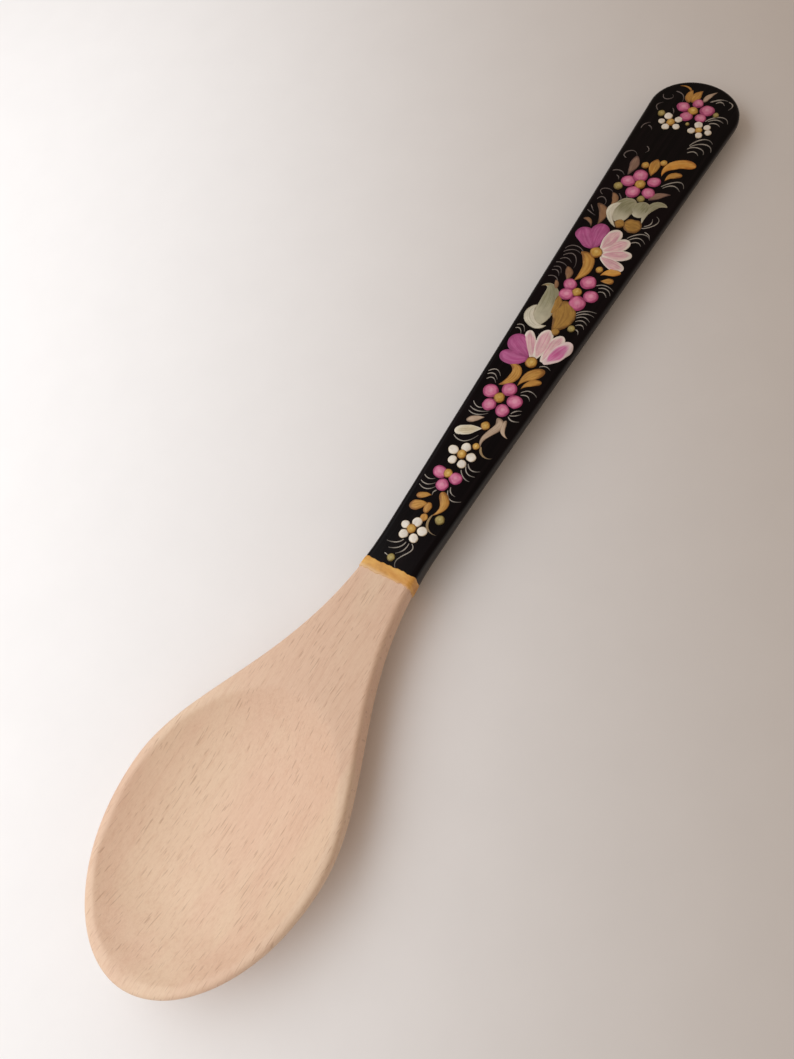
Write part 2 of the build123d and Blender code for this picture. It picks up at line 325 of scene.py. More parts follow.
def ranged(tree, value, low, high, out_low=0.0, out_high=1.0):
    """A value brought from one range to another, smoothly and held at the ends."""
    made = node(tree, "ShaderNodeMapRange", interpolation_type="SMOOTHSTEP")
    tree.links.new(value, made.inputs[0])
    for spot, limit in enumerate((low, high, out_low, out_high), start=1):
        made.inputs[spot].default_value = limit
    return made.outputs[0]


def stretched(tree, scale, turn=(0, 0, 0)):
    """Object coordinates scaled by direction, in repeats per metre."""
    where = node(tree, "ShaderNodeTexCoord")
    mapping = node(tree, "ShaderNodeMapping")
    mapping.inputs["Scale"].default_value = scale
    mapping.inputs["Rotation"].default_value = turn
    tree.links.new(where.outputs["Object"], mapping.inputs["Vector"])
    return mapping.outputs[0]


def clouds(tree, where, scale, detail=3.0, rough=0.55, distortion=0.0):
    made = fill(node(tree, "ShaderNodeTexNoise"), Scale=scale, Detail=detail, Roughness=rough)
    made.inputs["Distortion"].default_value = distortion
    tree.links.new(where, made.inputs["Vector"])
    return made.outputs[0]


def bumped(tree, shader, height, strength, distance):
    bump = fill(node(tree, "ShaderNodeBump"), Strength=strength, Distance=distance)
    tree.links.new(height, bump.inputs["Height"])
    tree.links.new(bump.outputs[0], shader.inputs["Normal"])


def beech():
    """Pale pinkish wood: soft long grain, short dark flecks, a few warmer patches."""
    mat, tree, shader = new_material("beech_wood")
    patch = clouds(tree, stretched(tree, (14, 45, 45)), 1.0, 3.0, 0.5, 0.4)
    grain = clouds(tree, stretched(tree, (30, 900, 900)), 1.0, 4.0, 0.6, 0.3)
    fibre = clouds(tree, stretched(tree, (220, 4200, 4200)), 1.0, 2.0, 0.5)
    sand = clouds(tree, stretched(tree, (900, 1500, 1500)), 1.0, 2.0, 0.6)
    flecks = clouds(tree, stretched(tree, (250, 2900, 420)), 1.0, 1.0, 0.4)
    fleck = ranged(tree, flecks, 0.6, 0.74)
    where_flecked = clouds(tree, stretched(tree, (60, 160, 160)), 1.0, 2.0)
    fleck_on = node(tree, "ShaderNodeMath", operation="MULTIPLY")
    tree.links.new(fleck, fleck_on.inputs[0])
    tree.links.new(ranged(tree, where_flecked, 0.34, 0.54, 0.25, 1.0), fleck_on.inputs[1])
    colour = mixed(tree, ranged(tree, patch, 0.38, 0.62), srgb(227, 193, 169), srgb(231, 203, 177))
    colour = mixed(tree, ranged(tree, grain, 0.45, 0.75, 0.0, 0.28), colour, srgb(206, 162, 134))
    colour = mixed(tree, ranged(tree, fibre, 0.3, 0.75, 0.0, 0.3), colour, srgb(242, 216, 192))
    colour = mixed(tree, ranged(tree, sand, 0.45, 0.72, 0.0, 0.14), colour, srgb(198, 158, 130))
    ink = node(tree, "ShaderNodeMath", operation="MULTIPLY")
    ink.inputs[1].default_value = 0.36
    tree.links.new(fleck_on.outputs[0], ink.inputs[0])
    colour = mixed(tree, ink.outputs[0], colour, srgb(150, 108, 80))
    tree.links.new(colour, shader.inputs["Base Color"])
    shader.inputs["Roughness"].default_value = 0.62
    shader.inputs["Specular IOR Level"].default_value = 0.35
    bumped(tree, shader, fibre, 0.25, 0.0001)
    return mat


blank = spoon_skin("beech_blank", TIP, 0.0, 430, 84, 56)
blank.data.materials.append(beech())
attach(blank, "root")
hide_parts("spoon_blank")


# ---------------------------------------------------------------- the black lacquer
# The handle is dipped or brushed black from just past the neck to its end. The film is thin and
# half glossy, with faint brush marks running along the handle.

EDGE = -38.0
UNDER_BAND = 1.2


def lacquer():
    mat, tree, shader = new_material("lacquer_black")
    drag = clouds(tree, stretched(tree, (35, 900, 900)), 1.0, 4.0, 0.6, 0.2)
    broad = clouds(tree, stretched(tree, (30, 60, 60)), 1.0, 2.0)
    colour = mixed(tree, ranged(tree, drag, 0.4, 0.7), srgb(11, 8, 10), srgb(19, 13, 15))
    colour = mixed(tree, ranged(tree, broad, 0.45, 0.7, 0.0, 0.6), colour, srgb(20, 10, 14))
    tree.links.new(colour, shader.inputs["Base Color"])
    tree.links.new(ranged(tree, broad, 0.35, 0.65, 0.2, 0.28), shader.inputs["Roughness"])
    shader.inputs["Specular IOR Level"].default_value = 0.07
    bumped(tree, shader, drag, 0.12, 0.0001)
    return mat


coat = spoon_skin("black_coat", EDGE - UNDER_BAND, COAT, 260, 60, 40)
coat.data.materials.append(lacquer())
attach(coat, "root")
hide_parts("black_lacquer_coat")


# ---------------------------------------------------------------- the ochre band
# One ring of ochre paint is drawn round the handle by hand over the lower edge of the lacquer,
# so its two edges wander a little and it is thicker where the brush lapped over itself.

BAND_LOW = -2.9
BAND_HIGH = 0.75
BAND_SLOPE = 0.56
RING_TOP = 84
RING_BACK = 76
RING_PLACES = RING_TOP + RING_BACK + 8


def ochre_ring():
    mat, tree, shader = new_material("band_ochre")
    drag = clouds(tree, stretched(tree, (500, 160, 160)), 1.0, 4.0, 0.6, 0.4)
    blotch = clouds(tree, stretched(tree, (180, 180, 180)), 1.0, 3.0)
    colour = mixed(tree, ranged(tree, drag, 0.35, 0.7), srgb(214, 152, 70), srgb(236, 184, 98))
    colour = mixed(tree, ranged(tree, blotch, 0.5, 0.75, 0.0, 0.7), colour, srgb(172, 104, 42))
    where = node(tree, "ShaderNodeSeparateXYZ")
    tree.links.new(stretched(tree, (1000, 1000, 1000)), where.inputs[0])
    lean = node(tree, "ShaderNodeMath", operation="MULTIPLY_ADD")
    lean.inputs[1].default_value = 1.6
    tree.links.new(drag, lean.inputs[0])
    tree.links.new(where.outputs["X"], lean.inputs[2])
    thin = ranged(tree, lean.outputs[0], EDGE - 0.9, EDGE - 2.2, 0.0, 0.75)
    colour = mixed(tree, thin, colour, srgb(232, 196, 152))
    tree.links.new(colour, shader.inputs["Base Color"])
    shader.inputs["Roughness"].default_value = 0.5
    bumped(tree, shader, drag, 0.35, 0.00015)
    return mat


bpy.ops.mesh.primitive_torus_add(major_segments=RING_PLACES, minor_segments=14, major_radius=1,
                                 minor_radius=0.25)
band = bpy.context.object
band.name = "ochre_ring"
band.data.name = "ochre_ring"
ring_co = np.empty(len(band.data.vertices) * 3)
band.data.vertices.foreach_get("co", ring_co)
ring_co = ring_co.reshape(-1, 3)
turn = np.mod(np.arctan2(ring_co[:, 1], ring_co[:, 0]), 2 * math.pi)
reach = np.hypot(ring_co[:, 0], ring_co[:, 1]) - 1
lift = np.arctan2(reach, ring_co[:, 2])
band_spots = []
for number in range(len(ring_co)):
    k = int(round(turn[number] / (2 * math.pi) * RING_PLACES)) % RING_PLACES
    wander = Vector((4 * math.cos(turn[number]), 4 * math.sin(turn[number]), 0))
    low = BAND_LOW + 0.45 * noise.noise(wander)
    high = BAND_HIGH + 0.5 * noise.noise(wander + Vector((9, 4, 2)))
    share = 0.5 + 0.5 * math.cos(lift[number])
    slope = -BAND_SLOPE * math.cos(2 * math.pi * (k + 0.5) / RING_PLACES)
    station = EDGE + low + (high - low) * share + slope
    raised = math.sin(lift[number])
    ridge = 0.06 * noise.noise(Vector((station / 0.9, 5 * math.cos(turn[number]),
                                       5 * math.sin(turn[number]))))
    thick = -0.25 if raised < -0.05 else COAT + (0.16 + ridge) * max(raised, 0) ** 0.6 - 0.08
    band_spots.append((station, *round_section(station, k, thick, RING_TOP, RING_BACK)))
set_places(band, lay(band_spots))
band.data.materials.append(ochre_ring())
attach(band, "root")
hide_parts("ochre_band")


# ---------------------------------------------------------------- pink blossoms
# Each blossom is five fat dabs of pink, pressed with a round brush so that every dab stands up
# as a little dome with a darker rim and a pale painted highlight in its middle. All the paint lies
# on the black coat.


def through(points, t):
    """A smooth line that goes through every point. t runs from 0 to 1 along it."""
    p = np.array(points, float)
    gaps = np.hypot(*np.diff(p, axis=0).T) ** 0.5
    at = np.concatenate([[0], np.cumsum(gaps)]) / gaps.sum()
    out = np.zeros(2)
    for i in range(len(p)):
        weight = 1.0
        for j in range(len(p)):
            if j != i:
                weight *= (t - at[j]) / (at[i] - at[j])
        out += weight * p[i]
    return out


def round_end(t):
    return math.sqrt(max(0.0, 1 - (2 * t - 1) ** 2))


def leaf_end(t):
    return max(0.0, math.sin(math.pi * t**0.8)) ** 0.8


def comma_end(t):
    """Fat soon after the start, then a long tail."""
    return max(0.0, math.sin(math.pi * t**0.55)) ** 0.85


def drop_end(t):
    """A thin start and a fat round end, as when a brush is pressed and lifted."""
    if t < 0.7:
        return math.sin(math.pi / 2 * t / 0.7) ** 1.1
    return math.sqrt(max(0.0, 1 - ((t - 0.7) / 0.3) ** 2))


def petal_end(t):
    """A broad root that soon swells to a round end."""
    if t < 0.68:
        return 0.12 + 0.88 * math.sin(math.pi / 2 * t / 0.68) ** 0.75
    return math.sqrt(max(0.0, 1 - ((t - 0.68) / 0.32) ** 2))


def hair_end(t):
    return 0.35 + 0.65 * max(0.0, math.sin(math.pi * t**0.7)) ** 0.6


# The whole painting sits a little towards the bowl and to the right of its drawn places.
PAINT_BACK = 0.25
PAINT_SHARE = 0.998
PAINT_RIGHT = 0.4

made_strokes = {}


def brush_stroke(kind, points, width, swell, thick=0.2, lift=0.0, rings=22, segments=18,
                 wobble=0.09):
    """One closed stroke of paint that follows the points, given as (from the edge, to the left)."""
    made_strokes[kind] = made_strokes.get(kind, 0) + 1
    number = made_strokes[kind]
    seed = noise.noise(Vector((points[0][0] * 0.37, points[0][1] * 0.71, 2.3))) * 0.5 + 0.5
    piece = new_ball(f"{kind}_{number:02d}", segments, rings)
    ring, slot = ball_places(piece.data, segments, rings)
    places = np.zeros((rings + 1, segments, 3))
    marks = np.zeros((rings + 1, segments, 3))
    for r in range(rings + 1):
        t = (1 - math.cos(math.pi * r / rings)) / 2
        middle = through(points, t)
        ahead = through(points, min(t + 0.01, 1.0)) - through(points, max(t - 0.01, 0.0))
        ahead /= max(np.hypot(*ahead), 1e-6)
        side = np.array([-ahead[1], ahead[0]])
        size = swell(t)
        for k in range(segments):
            angle = 2 * math.pi * k / segments
            out = math.cos(angle)
            if r in (0, rings):
                out = 0.0
            shake = noise.noise(Vector((t * 3.1 + number, math.copysign(1.7, out), seed * 9)))
            place = middle + side * out * width / 2 * size * (1 + wobble * 2 * shake)
            x = EDGE - PAINT_BACK + place[0] * PAINT_SHARE
            y = place[1] - PAINT_RIGHT
            z = top_height(x, y, COAT)
            up = math.sin(angle)
            if up > 1e-3:
                ridge = noise.noise(Vector((t * 2.2 + number, out * 3.2, 5 + seed)))
                dome = min(size, 1) ** 0.5 * up**0.7
                z += lift + thick * dome * (1 + 0.45 * ridge)
            else:
                z -= 0.05
            places[r, k] = (x, y, z)
            marks[r, k] = (t, (out + 1) / 2, seed)
    set_places(piece, lay(places[ring, slot]))
    mark = piece.data.attributes.new("stroke", "FLOAT_VECTOR", "POINT")
    mark.data.foreach_set("vector", marks[ring, slot].astype(float).ravel())
    return piece


def hand_in(piece, mat, node_name):
    piece.data.materials.append(mat)
    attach(piece, "root")
    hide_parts(node_name)


def brush_marks():
    """Shared by every paint: where we are on a stroke, and the streaks its hairs left."""
    group = bpy.data.node_groups.new("brush_marks", "ShaderNodeTree")
    for name in ("Along", "Rim", "Streak", "Cloud", "Seed"):
        group.interface.new_socket(name, in_out="OUTPUT", socket_type="NodeSocketFloat")
    ends = node(group, "NodeGroupOutput")
    mark = node(group, "ShaderNodeAttribute", attribute_name="stroke")
    parts = node(group, "ShaderNodeSeparateXYZ")
    group.links.new(mark.outputs["Vector"], parts.inputs[0])
    centred = node(group, "ShaderNodeVectorMath", operation="MULTIPLY_ADD")
    centred.inputs[1].default_value = (2, 2, 0)
    centred.inputs[2].default_value = (-1, -1, 0)
    group.links.new(mark.outputs["Vector"], centred.inputs[0])
    span = node(group, "ShaderNodeVectorMath", operation="LENGTH")
    group.links.new(centred.outputs[0], span.inputs[0])
    drawn = node(group, "ShaderNodeMapping")
    drawn.inputs["Scale"].default_value = (1.3, 9.0, 31.0)
    group.links.new(mark.outputs["Vector"], drawn.inputs["Vector"])
    streak = clouds(group, drawn.outputs[0], 1.0, 3.0, 0.6, 0.5)
    cloud = clouds(group, stretched(group, (420, 420, 420)), 1.0, 3.0)
    group.links.new(parts.outputs["X"], ends.inputs["Along"])
    group.links.new(parts.outputs["Z"], ends.inputs["Seed"])
    group.links.new(span.outputs["Value"], ends.inputs["Rim"])
    group.links.new(streak, ends.inputs["Streak"])
    group.links.new(cloud, ends.inputs["Cloud"])
    return group


MARKS = brush_marks()


def paint(name, body, streak, rim=None, heart=None, tip=None, rough=0.42, rim_from=0.55,
          streaks=0.9):
    """A brushed paint: body colour, streaks in it, and if named a rim, a heart and a far tip. On the
    domed dots the heart is a painted highlight.
    """
    mat, tree, shader = new_material(name)
    marks = node(tree, "ShaderNodeGroup", node_tree=MARKS)
    out = marks.outputs
    colour = mixed(tree, ranged(tree, out["Streak"], 0.42, 0.62, 0.0, streaks), srgb(*body),
                   srgb(*streak))
    uneven = node(tree, "ShaderNodeMath", operation="MULTIPLY_ADD")
    uneven.inputs[1].default_value = 0.5
    tree.links.new(out["Cloud"], uneven.inputs[0])
    tree.links.new(out["Rim"], uneven.inputs[2])
    if rim:
        colour = mixed(tree, ranged(tree, uneven.outputs[0], rim_from + 0.25, rim_from + 0.6),
                       colour, srgb(*rim))
    # On the pink, ochre and olive dots the heart colour is a painted highlight, a paler middle where
    # light catches the dome. On the rose petal it is a darker second paint.
    if heart:
        colour = mixed(tree, ranged(tree, uneven.outputs[0], 0.72, 0.3, 0.0, 0.9), colour,
                       srgb(*heart))
    if tip:
        colour = mixed(tree, ranged(tree, out["Along"], 0.45, 0.95, 0.0, 0.9), colour, srgb(*tip))
    shade = ranged(tree, out["Cloud"], 0.3, 0.7, 0.0, 0.16)
    colour = mixed(tree, shade, colour, (0.0, 0.0, 0.0, 1))
    tree.links.new(colour, shader.inputs["Base Color"])
    shader.inputs["Roughness"].default_value = rough
    shader.inputs["Specular IOR Level"].default_value = 0.4
    bumped(tree, shader, out["Streak"], 0.35, 0.00012)
    return mat


def dab(kind, spot, radius, heart, mat, node_name, thick=0.42, lift=0.0):
    """A round dab, a little longer the way that it points from the heart of its blossom."""
    way = np.array(spot, float) - np.array(heart, float)
    way /= max(np.hypot(*way), 1e-6)
    ends = [np.array(spot) - way * radius * 1.05, np.array(spot) + way * radius * 1.05]
    piece = brush_stroke(kind, ends, 2 * radius, round_end, thick, lift, 16, 20, 0.06)
    hand_in(piece, mat, node_name)


# The heart colour of the pink paint is a painted highlight in the middle of each dab.
PINK = paint("paint_pink", (222, 120, 164), (230, 138, 178), rim=(176, 68, 120),
             heart=(243, 168, 198), rim_from=0.6)
PINK_BLOSSOMS = [
    ((184.8, 0.4), 1.65, [(185.4, 4.0, 2.0), (188.5, 0.3, 1.7), (186.7, -3.7, 2.2),
                          (182.9, -3.1, 1.7), (181.9, 1.3, 1.9)]),
    ((149.8, 1.5), 1.7, [(153.1, 3.0, 2.3), (152.5, -2.0, 1.95), (147.7, -2.4, 1.95),
                         (146.2, 2.2, 2.2), (149.6, 5.5, 2.1)]),
    ((104.0, -0.85), 1.5, [(108.7, -2.2, 2.3), (104.4, -5.3, 2.1), (100.4, -2.8, 2.5),
                           (102.1, 1.7, 2.15), (105.8, 2.4, 1.95)]),
    ((60.9, 1.1), 1.65, [(64.7, -0.1, 2.1), (61.8, -3.5, 2.15), (57.6, -1.8, 1.95),
                         (57.6, 2.6, 1.95), (61.8, 4.5, 2.15)]),
]
for heart, size, dabs in PINK_BLOSSOMS:
    for s, y, r in dabs:
        dab("pink_dab", (s, y), r * 1.05, heart, PINK, "pink_blossoms")

THREE_DABS = [(32.0, 3.6, 2.05), (32.2, -1.4, 1.9), (28.8, 0.9, 1.85)]
for s, y, r in THREE_DABS:
    dab("three_dab", (s, y), r, (31.5, 1.2), PINK, "three_dab_blossom")


# ---------------------------------------------------------------- white blossoms
# The small blossoms are five dots of thick white paint, set down one by one with the tip of a
# round brush. Each dot stands up as a little dome with a warmer rim.

WHITE = paint("paint_white", (252, 248, 240), (246, 238, 226), rim=(230, 212, 182), rim_from=0.8,
              rough=0.4)
WHITE_BLOSSOMS = [
    ((177.5, 4.7), 1.4, [(179.8, 6.5, 1.35), (179.6, 2.9, 1.2), (176.5, 2.3, 1.15),
                         (175.2, 5.4, 1.2), (176.9, 7.5, 1.05)]),
    ((177.8, -4.9), 1.15, [(180.0, -3.9, 1.35), (176.9, -2.8, 1.2), (176.0, -5.8, 1.15),
                           (178.1, -8.0, 1.05), (180.0, -6.8, 1.1)]),
    ((39.7, 1.1), 1.4, [(42.2, 1.1, 1.42), (40.1, -1.8, 1.42), (37.0, -0.5, 1.3), (37.0, 2.6, 1.3),
                        (39.9, 4.0, 1.48)]),
    ((13.0, 1.3), 1.4, [(15.5, 0.9, 1.45), (13.8, -1.8, 1.42), (10.9, -0.8, 1.35),
                        (10.7, 2.4, 1.35), (13.4, 3.4, 1.22)]),
]
for heart, size, dabs in WHITE_BLOSSOMS:
    for s, y, r in dabs:
        dab("white_dab", (s, y), r, heart, WHITE, "white_blossoms")


# ---------------------------------------------------------------- ochre hearts and berries
# A dot of thick ochre closes the middle of every flower. Loose berries are the same ochre, or
# a duller olive mixed with green.

# The heart colours of the ochre and olive dot paints are painted highlights, paler in each dot's
# middle.
OCHRE_DOT = paint("paint_ochre_dot", (206, 158, 70), (220, 178, 92), rim=(158, 106, 42),
                  heart=(238, 202, 122), rim_from=0.68)
OLIVE = paint("paint_olive", (170, 154, 88), (186, 170, 106), rim=(122, 104, 52),
              heart=(206, 190, 130), rim_from=0.65)
for heart, size, dabs in PINK_BLOSSOMS + WHITE_BLOSSOMS:
    toward = (heart[0] - 3, heart[1])
    dab("heart_dot", heart, size, toward, OCHRE_DOT, "blossom_centres", 0.45, 0.12)
dab("heart_dot", (32.6, 1.3), 1.35, (30.0, 1.3), OCHRE_DOT, "three_dab_blossom", 0.4,
    0.15)
for s, y, r in [(119.8, 1.1, 1.9), (75.7, -1.1, 1.8)]:
    dab("flower_heart", (s, y), r, (s - 3, y), OCHRE_DOT, "large_flower_centres",
        0.5, 0.2)
for s, y, r in [(50.9, -0.1, 1.35), (114.4, -2.9, 1.15), (43.8, -1.2, 1.05), (157.7, 3.6, 1.25),
                (160.8, -1.2, 1.15)]:
    dab("ochre_berry", (s, y), r, (s - 3, y), OCHRE_DOT, "ochre_berries", 0.35, 0.08)
for s, y, r in [
    (180.0, 9.1, 1.25), (186.0, -7.0, 1.0), (178.9, -0.5, 0.65), (146.5, 7.4, 1.45),
    (144.6, -1.4, 1.25),
    (91.5, -5.7, 1.15), (19.1, -4.3, 1.4), (3.0, 1.6, 1.15),
]:
    dab("olive_berry", (s, y), r, (s - 3, y), OLIVE, "olive_berries", 0.35, 0.08)


# ---------------------------------------------------------------- magenta, pale pink and rose petals
# The two large flowers are made of broad single strokes: flat magenta on the left, and on the
# right pale petals that each show two paints carried on one brush, with thick white edges.

MAGENTA = paint("paint_magenta", (184, 84, 146), (202, 110, 168), rim=(168, 72, 132), rim_from=0.7)
PALE = paint("paint_pale_pink", (240, 206, 208), (224, 156, 182), rim=(248, 238, 230),
             rim_from=0.68, streaks=0.8)
ROSE = paint("paint_rose", (216, 116, 174), (228, 152, 196), rim=(244, 224, 226),
             heart=(206, 96, 158), rim_from=0.56)
for points, width in [
    ([(121.0, 2.6), (125.5, 3.6), (130.9, 4.0)], 6.0),
    ([(121.0, 3.0), (123.4, 6.2), (127.2, 9.3)], 5.8),
    ([(76.7, 0.4), (74.9, 4.2), (75.1, 8.7)], 5.2),
    ([(77.2, 0.6), (79.3, 4.4), (81.9, 8.5)], 6.3),
]:
    petal = brush_stroke("magenta_petal", points, width, petal_end, 0.26, 0.0, 30, 24)
    hand_in(petal, MAGENTA, "magenta_petals")
for points, width, lift in [
    ([(119.2, -0.8), (118.0, -4.6), (117.6, -9.3)], 3.9, 0.0),
    ([(119.8, -0.6), (121.4, -4.8), (123.4, -9.2)], 3.9, 0.06),
    ([(120.8, -0.2), (124.2, -3.2), (127.9, -6.3)], 4.2, 0.12),
    ([(121.4, 0.4), (125.6, -0.6), (130.5, -1.6)], 4.9, 0.18),
    ([(77.2, -0.4), (80.4, 1.9), (85.6, 4.9)], 3.7, 0.0),
    ([(77.2, -3.4), (82.2, -4.2), (88.0, -5.0)], 4.3, 0.05),
    ([(77.2, -1.4), (82.4, -1.0), (88.2, -0.3)], 4.5, 0.12),
]:
    petal = brush_stroke("pale_petal", points, width, petal_end, 0.26, lift, 30, 24)
    hand_in(petal, PALE, "pale_petals")
petal = brush_stroke("rose_petal", [(76.9, -4.3), (81.4, -6.4), (87.0, -8.3)], 5.0, petal_end, 0.28,
                     0.12, 30, 24)
hand_in(petal, ROSE, "rose_petal")


# ---------------------------------------------------------------- leaves
# Leaves are one or two turns of the brush each: bright ochre, brown, mauve or cream.
# The older, thinner ones let the black through at their tails.

OCHRE_LEAF = paint("paint_ochre_leaf", (190, 134, 58), (216, 166, 84), rim=(150, 98, 40),
                   rim_from=0.7)
BRIGHT_LEAF = paint("paint_bright_leaf", (222, 156, 64), (232, 176, 90), rim=(186, 118, 44),
                    rim_from=0.75)
BROWN_LEAF = paint("paint_brown", (142, 104, 74), (164, 124, 88), rim=(104, 72, 52), rim_from=0.65)
MAUVE_LEAF = paint("paint_mauve", (138, 106, 92), (158, 128, 110), rim=(104, 76, 72), rim_from=0.65)
CREAM_LEAF = paint("paint_cream", (234, 224, 196), (206, 190, 158), rim=(246, 240, 222),
                   rim_from=0.62)
BEIGE_LEAF = paint("paint_beige", (190, 164, 142), (208, 186, 164), rim=(146, 122, 104),
                   rim_from=0.7)
for points, width, swell, mat in [
    ([(187.8, 3.2), (190.6, 4.3), (193.4, 4.3)], 2.7, leaf_end, OCHRE_LEAF),
    ([(188.2, 2.2), (191.0, 2.2), (194.3, 1.2)], 3.0, leaf_end, OCHRE_LEAF),
    ([(192.6, 4.6), (194.0, 6.4), (193.5, 9.2)], 0.8, comma_end, OCHRE_LEAF),
    ([(155.6, -3.0), (159.6, -3.2), (162.6, -6.4), (163.3, -10.9)], 3.9, drop_end, BRIGHT_LEAF),
    ([(154.2, -4.7), (156.9, -5.7), (158.4, -8.7)], 2.4, drop_end, OCHRE_LEAF),
    ([(161.6, 1.2), (158.2, 0.8), (154.4, 0.1)], 3.4, leaf_end, OCHRE_LEAF),
    ([(112.7, -4.1), (114.7, -5.8), (115.9, -9.3)], 2.7, drop_end, BRIGHT_LEAF),
    ([(110.8, -5.1), (111.6, -6.8), (112.3, -8.8)], 2.1, drop_end, OCHRE_LEAF),
    ([(66.8, -1.4), (71.2, -2.9), (74.8, -6.3)], 3.5, drop_end, OCHRE_LEAF),
    ([(66.3, -2.8), (69.2, -4.4), (70.9, -7.3)], 2.2, drop_end, OCHRE_LEAF),
    ([(72.6, 4.4), (71.4, 1.2), (68.2, 1.2), (64.8, 3.7)], 3.2, leaf_end, OCHRE_LEAF),
    ([(24.6, 1.8), (23.9, 3.4), (22.3, 5.5)], 2.0, drop_end, OCHRE_LEAF),
    ([(21.8, 1.0), (20.8, 3.0), (18.5, 5.5)], 3.1, drop_end, OCHRE_LEAF),
    ([(26.6, -0.1), (23.6, -2.9), (19.2, -1.6)], 2.9, comma_end, OCHRE_LEAF),
    ([(22.4, 0.6), (20.8, 0.8), (19.0, 0.4)], 2.3, round_end, OCHRE_LEAF),
    ([(18.9, 0.2), (17.8, 0.1), (16.4, 0.0)], 2.2, round_end, OCHRE_LEAF),
]:
    leaf = brush_stroke("ochre_leaf", points, width, swell, 0.24, 0.02, 26, 18)
    hand_in(leaf, mat, "ochre_leaves")
for points, width, swell, mat in [
    ([(137.6, 9.9), (135.2, 6.6), (129.9, 6.0)], 3.0, leaf_end, BROWN_LEAF),
    ([(118.2, 5.4), (116.4, 1.8), (112.6, 0.8), (107.6, 2.2)], 3.8, leaf_end, OCHRE_LEAF),
    ([(111.4, 6.4), (109.3, 4.7), (106.7, 4.2)], 2.5, leaf_end, BROWN_LEAF),
    ([(143.4, 7.7), (141.4, 5.8), (138.3, 5.9)], 2.1, leaf_end, BROWN_LEAF),
    ([(130.2, 11.0), (130.5, 9.2), (128.3, 7.4)], 1.4, leaf_end, BROWN_LEAF),
    ([(105.4, 7.2), (103.6, 5.9), (101.4, 5.8)], 1.5, leaf_end, BROWN_LEAF),
]:
    leaf = brush_stroke("brown_leaf", points, width, swell, 0.22, 0.0, 26, 18)
    hand_in(leaf, mat, "brown_leaves")
for points, width, swell, mat in [
    ([(160.3, 7.8), (156.4, 6.9), (151.9, 6.9)], 3.0, leaf_end, MAUVE_LEAF),
    ([(145.2, -3.7), (147.6, -5.2), (150.0, -9.0)], 2.4, leaf_end, MAUVE_LEAF),
    ([(189.8, -1.0), (192.6, -1.5), (195.6, -3.3)], 1.8, comma_end, BEIGE_LEAF),
]:
    leaf = brush_stroke("mauve_leaf", points, width, swell, 0.2, 0.0, 26, 18)
    hand_in(leaf, mat, "mauve_leaves")
for points, width, swell, mat in [
    ([(49.8, 0.2), (47.9, 3.2), (45.3, 7.0)], 3.5, drop_end, CREAM_LEAF),
    ([(54.7, -1.8), (52.2, -3.6), (48.4, -2.0), (43.6, -2.8)], 2.6, comma_end, BEIGE_LEAF),
    ([(53.3, 1.5), (52.0, 3.4), (50.0, 5.8)], 2.0, drop_end, BEIGE_LEAF),
    ([(55.2, -4.5), (51.4, -5.5), (50.2, -7.8)], 1.6, comma_end, BEIGE_LEAF),
]:
    leaf = brush_stroke("cream_leaf", points, width, swell, 0.24, 0.0, 26, 18)
    hand_in(leaf, mat, "cream_leaves")


# ---------------------------------------------------------------- the two buds
# Each bud has a grey-white shell, worked with a little green while wet and thickest along its
# lower left, and an ochre cup that it sits against.

SHELL = paint("paint_shell", (164, 162, 134), (140, 138, 106), rim=(178, 172, 146),
              tip=(206, 202, 180), rim_from=0.75)
SHELL_EDGE = paint("paint_shell_edge", (236, 232, 216), (206, 202, 180), rim=(196, 190, 168),
                   rim_from=0.8)
CUP = paint("paint_cup", (184, 140, 66), (160, 118, 54), rim=(128, 88, 40), rim_from=0.7)
for points, width, swell, mat, lift in [
    ([(145.0, -10.2), (144.6, -7.2), (141.8, -5.6), (135.8, -6.0)], 2.6, leaf_end, SHELL, 0.0),
    ([(144.0, -3.6), (140.8, -3.4), (137.4, -3.2)], 5.8, round_end, SHELL, 0.03),
    ([(143.0, -0.8), (139.4, 1.6), (133.4, 0.6)], 6.8, round_end, SHELL, 0.05),
    ([(140.9, 3.0), (136.4, 4.9), (131.2, 0.6)], 2.6, leaf_end, SHELL_EDGE, 0.12),
    ([(101.9, 9.9), (102.4, 7.2), (97.6, 5.0), (87.6, 5.3)], 5.9, drop_end, SHELL, 0.0),
    ([(94.6, 7.5), (89.8, 7.6), (87.9, 4.6), (89.2, 1.5)], 3.2, leaf_end, SHELL_EDGE, 0.1),
]:
    shell = brush_stroke("bud_shell", points, width, swell, 0.26, lift, 32, 22)
    hand_in(shell, mat, "bud_shells")
for points, width, swell, lift in [
    ([(132.8, 1.6), (132.9, 0.0), (132.6, -1.7)], 3.2, round_end, 0.16),
    ([(133.5, -1.2), (133.8, -4.0), (133.8, -6.8)], 5.6, round_end, 0.1),
    ([(100.8, 3.4), (97.0, 2.2), (93.2, 2.7)], 2.8, leaf_end, 0.04),
    ([(99.4, 1.2), (94.6, -1.4), (87.9, -1.0)], 6.9, leaf_end, 0.08),
    ([(89.8, -1.8), (88.4, -2.0), (87.0, -2.1)], 2.5, round_end, 0.12),
]:
    cup = brush_stroke("bud_cup", points, width, swell, 0.26, lift, 28, 22)
    hand_in(cup, CUP, "bud_cups")


# ---------------------------------------------------------------- hair strokes and curled stems
# The finest brush draws fans of hair lines out to both edges of the handle, little scrolls, and
# the curled stems of the leaves. They are thin grey-white paint, not all of it covering.

HAIR = paint("paint_hair", (186, 180, 172), (150, 144, 136), tip=(108, 102, 98), rough=0.45)
FAINT_HAIR = paint("paint_faint_hair", (124, 114, 112), (96, 86, 86), tip=(66, 58, 60), rough=0.45)
STEM = paint("paint_stem", (176, 150, 108), (140, 116, 84), tip=(120, 104, 84), rough=0.45)


def hair(kind, points, width, mat, node_name):
    line = brush_stroke(kind, points, width, hair_end, 0.08, 0.02, 16, 8, 0.25)
    hand_in(line, mat, node_name)


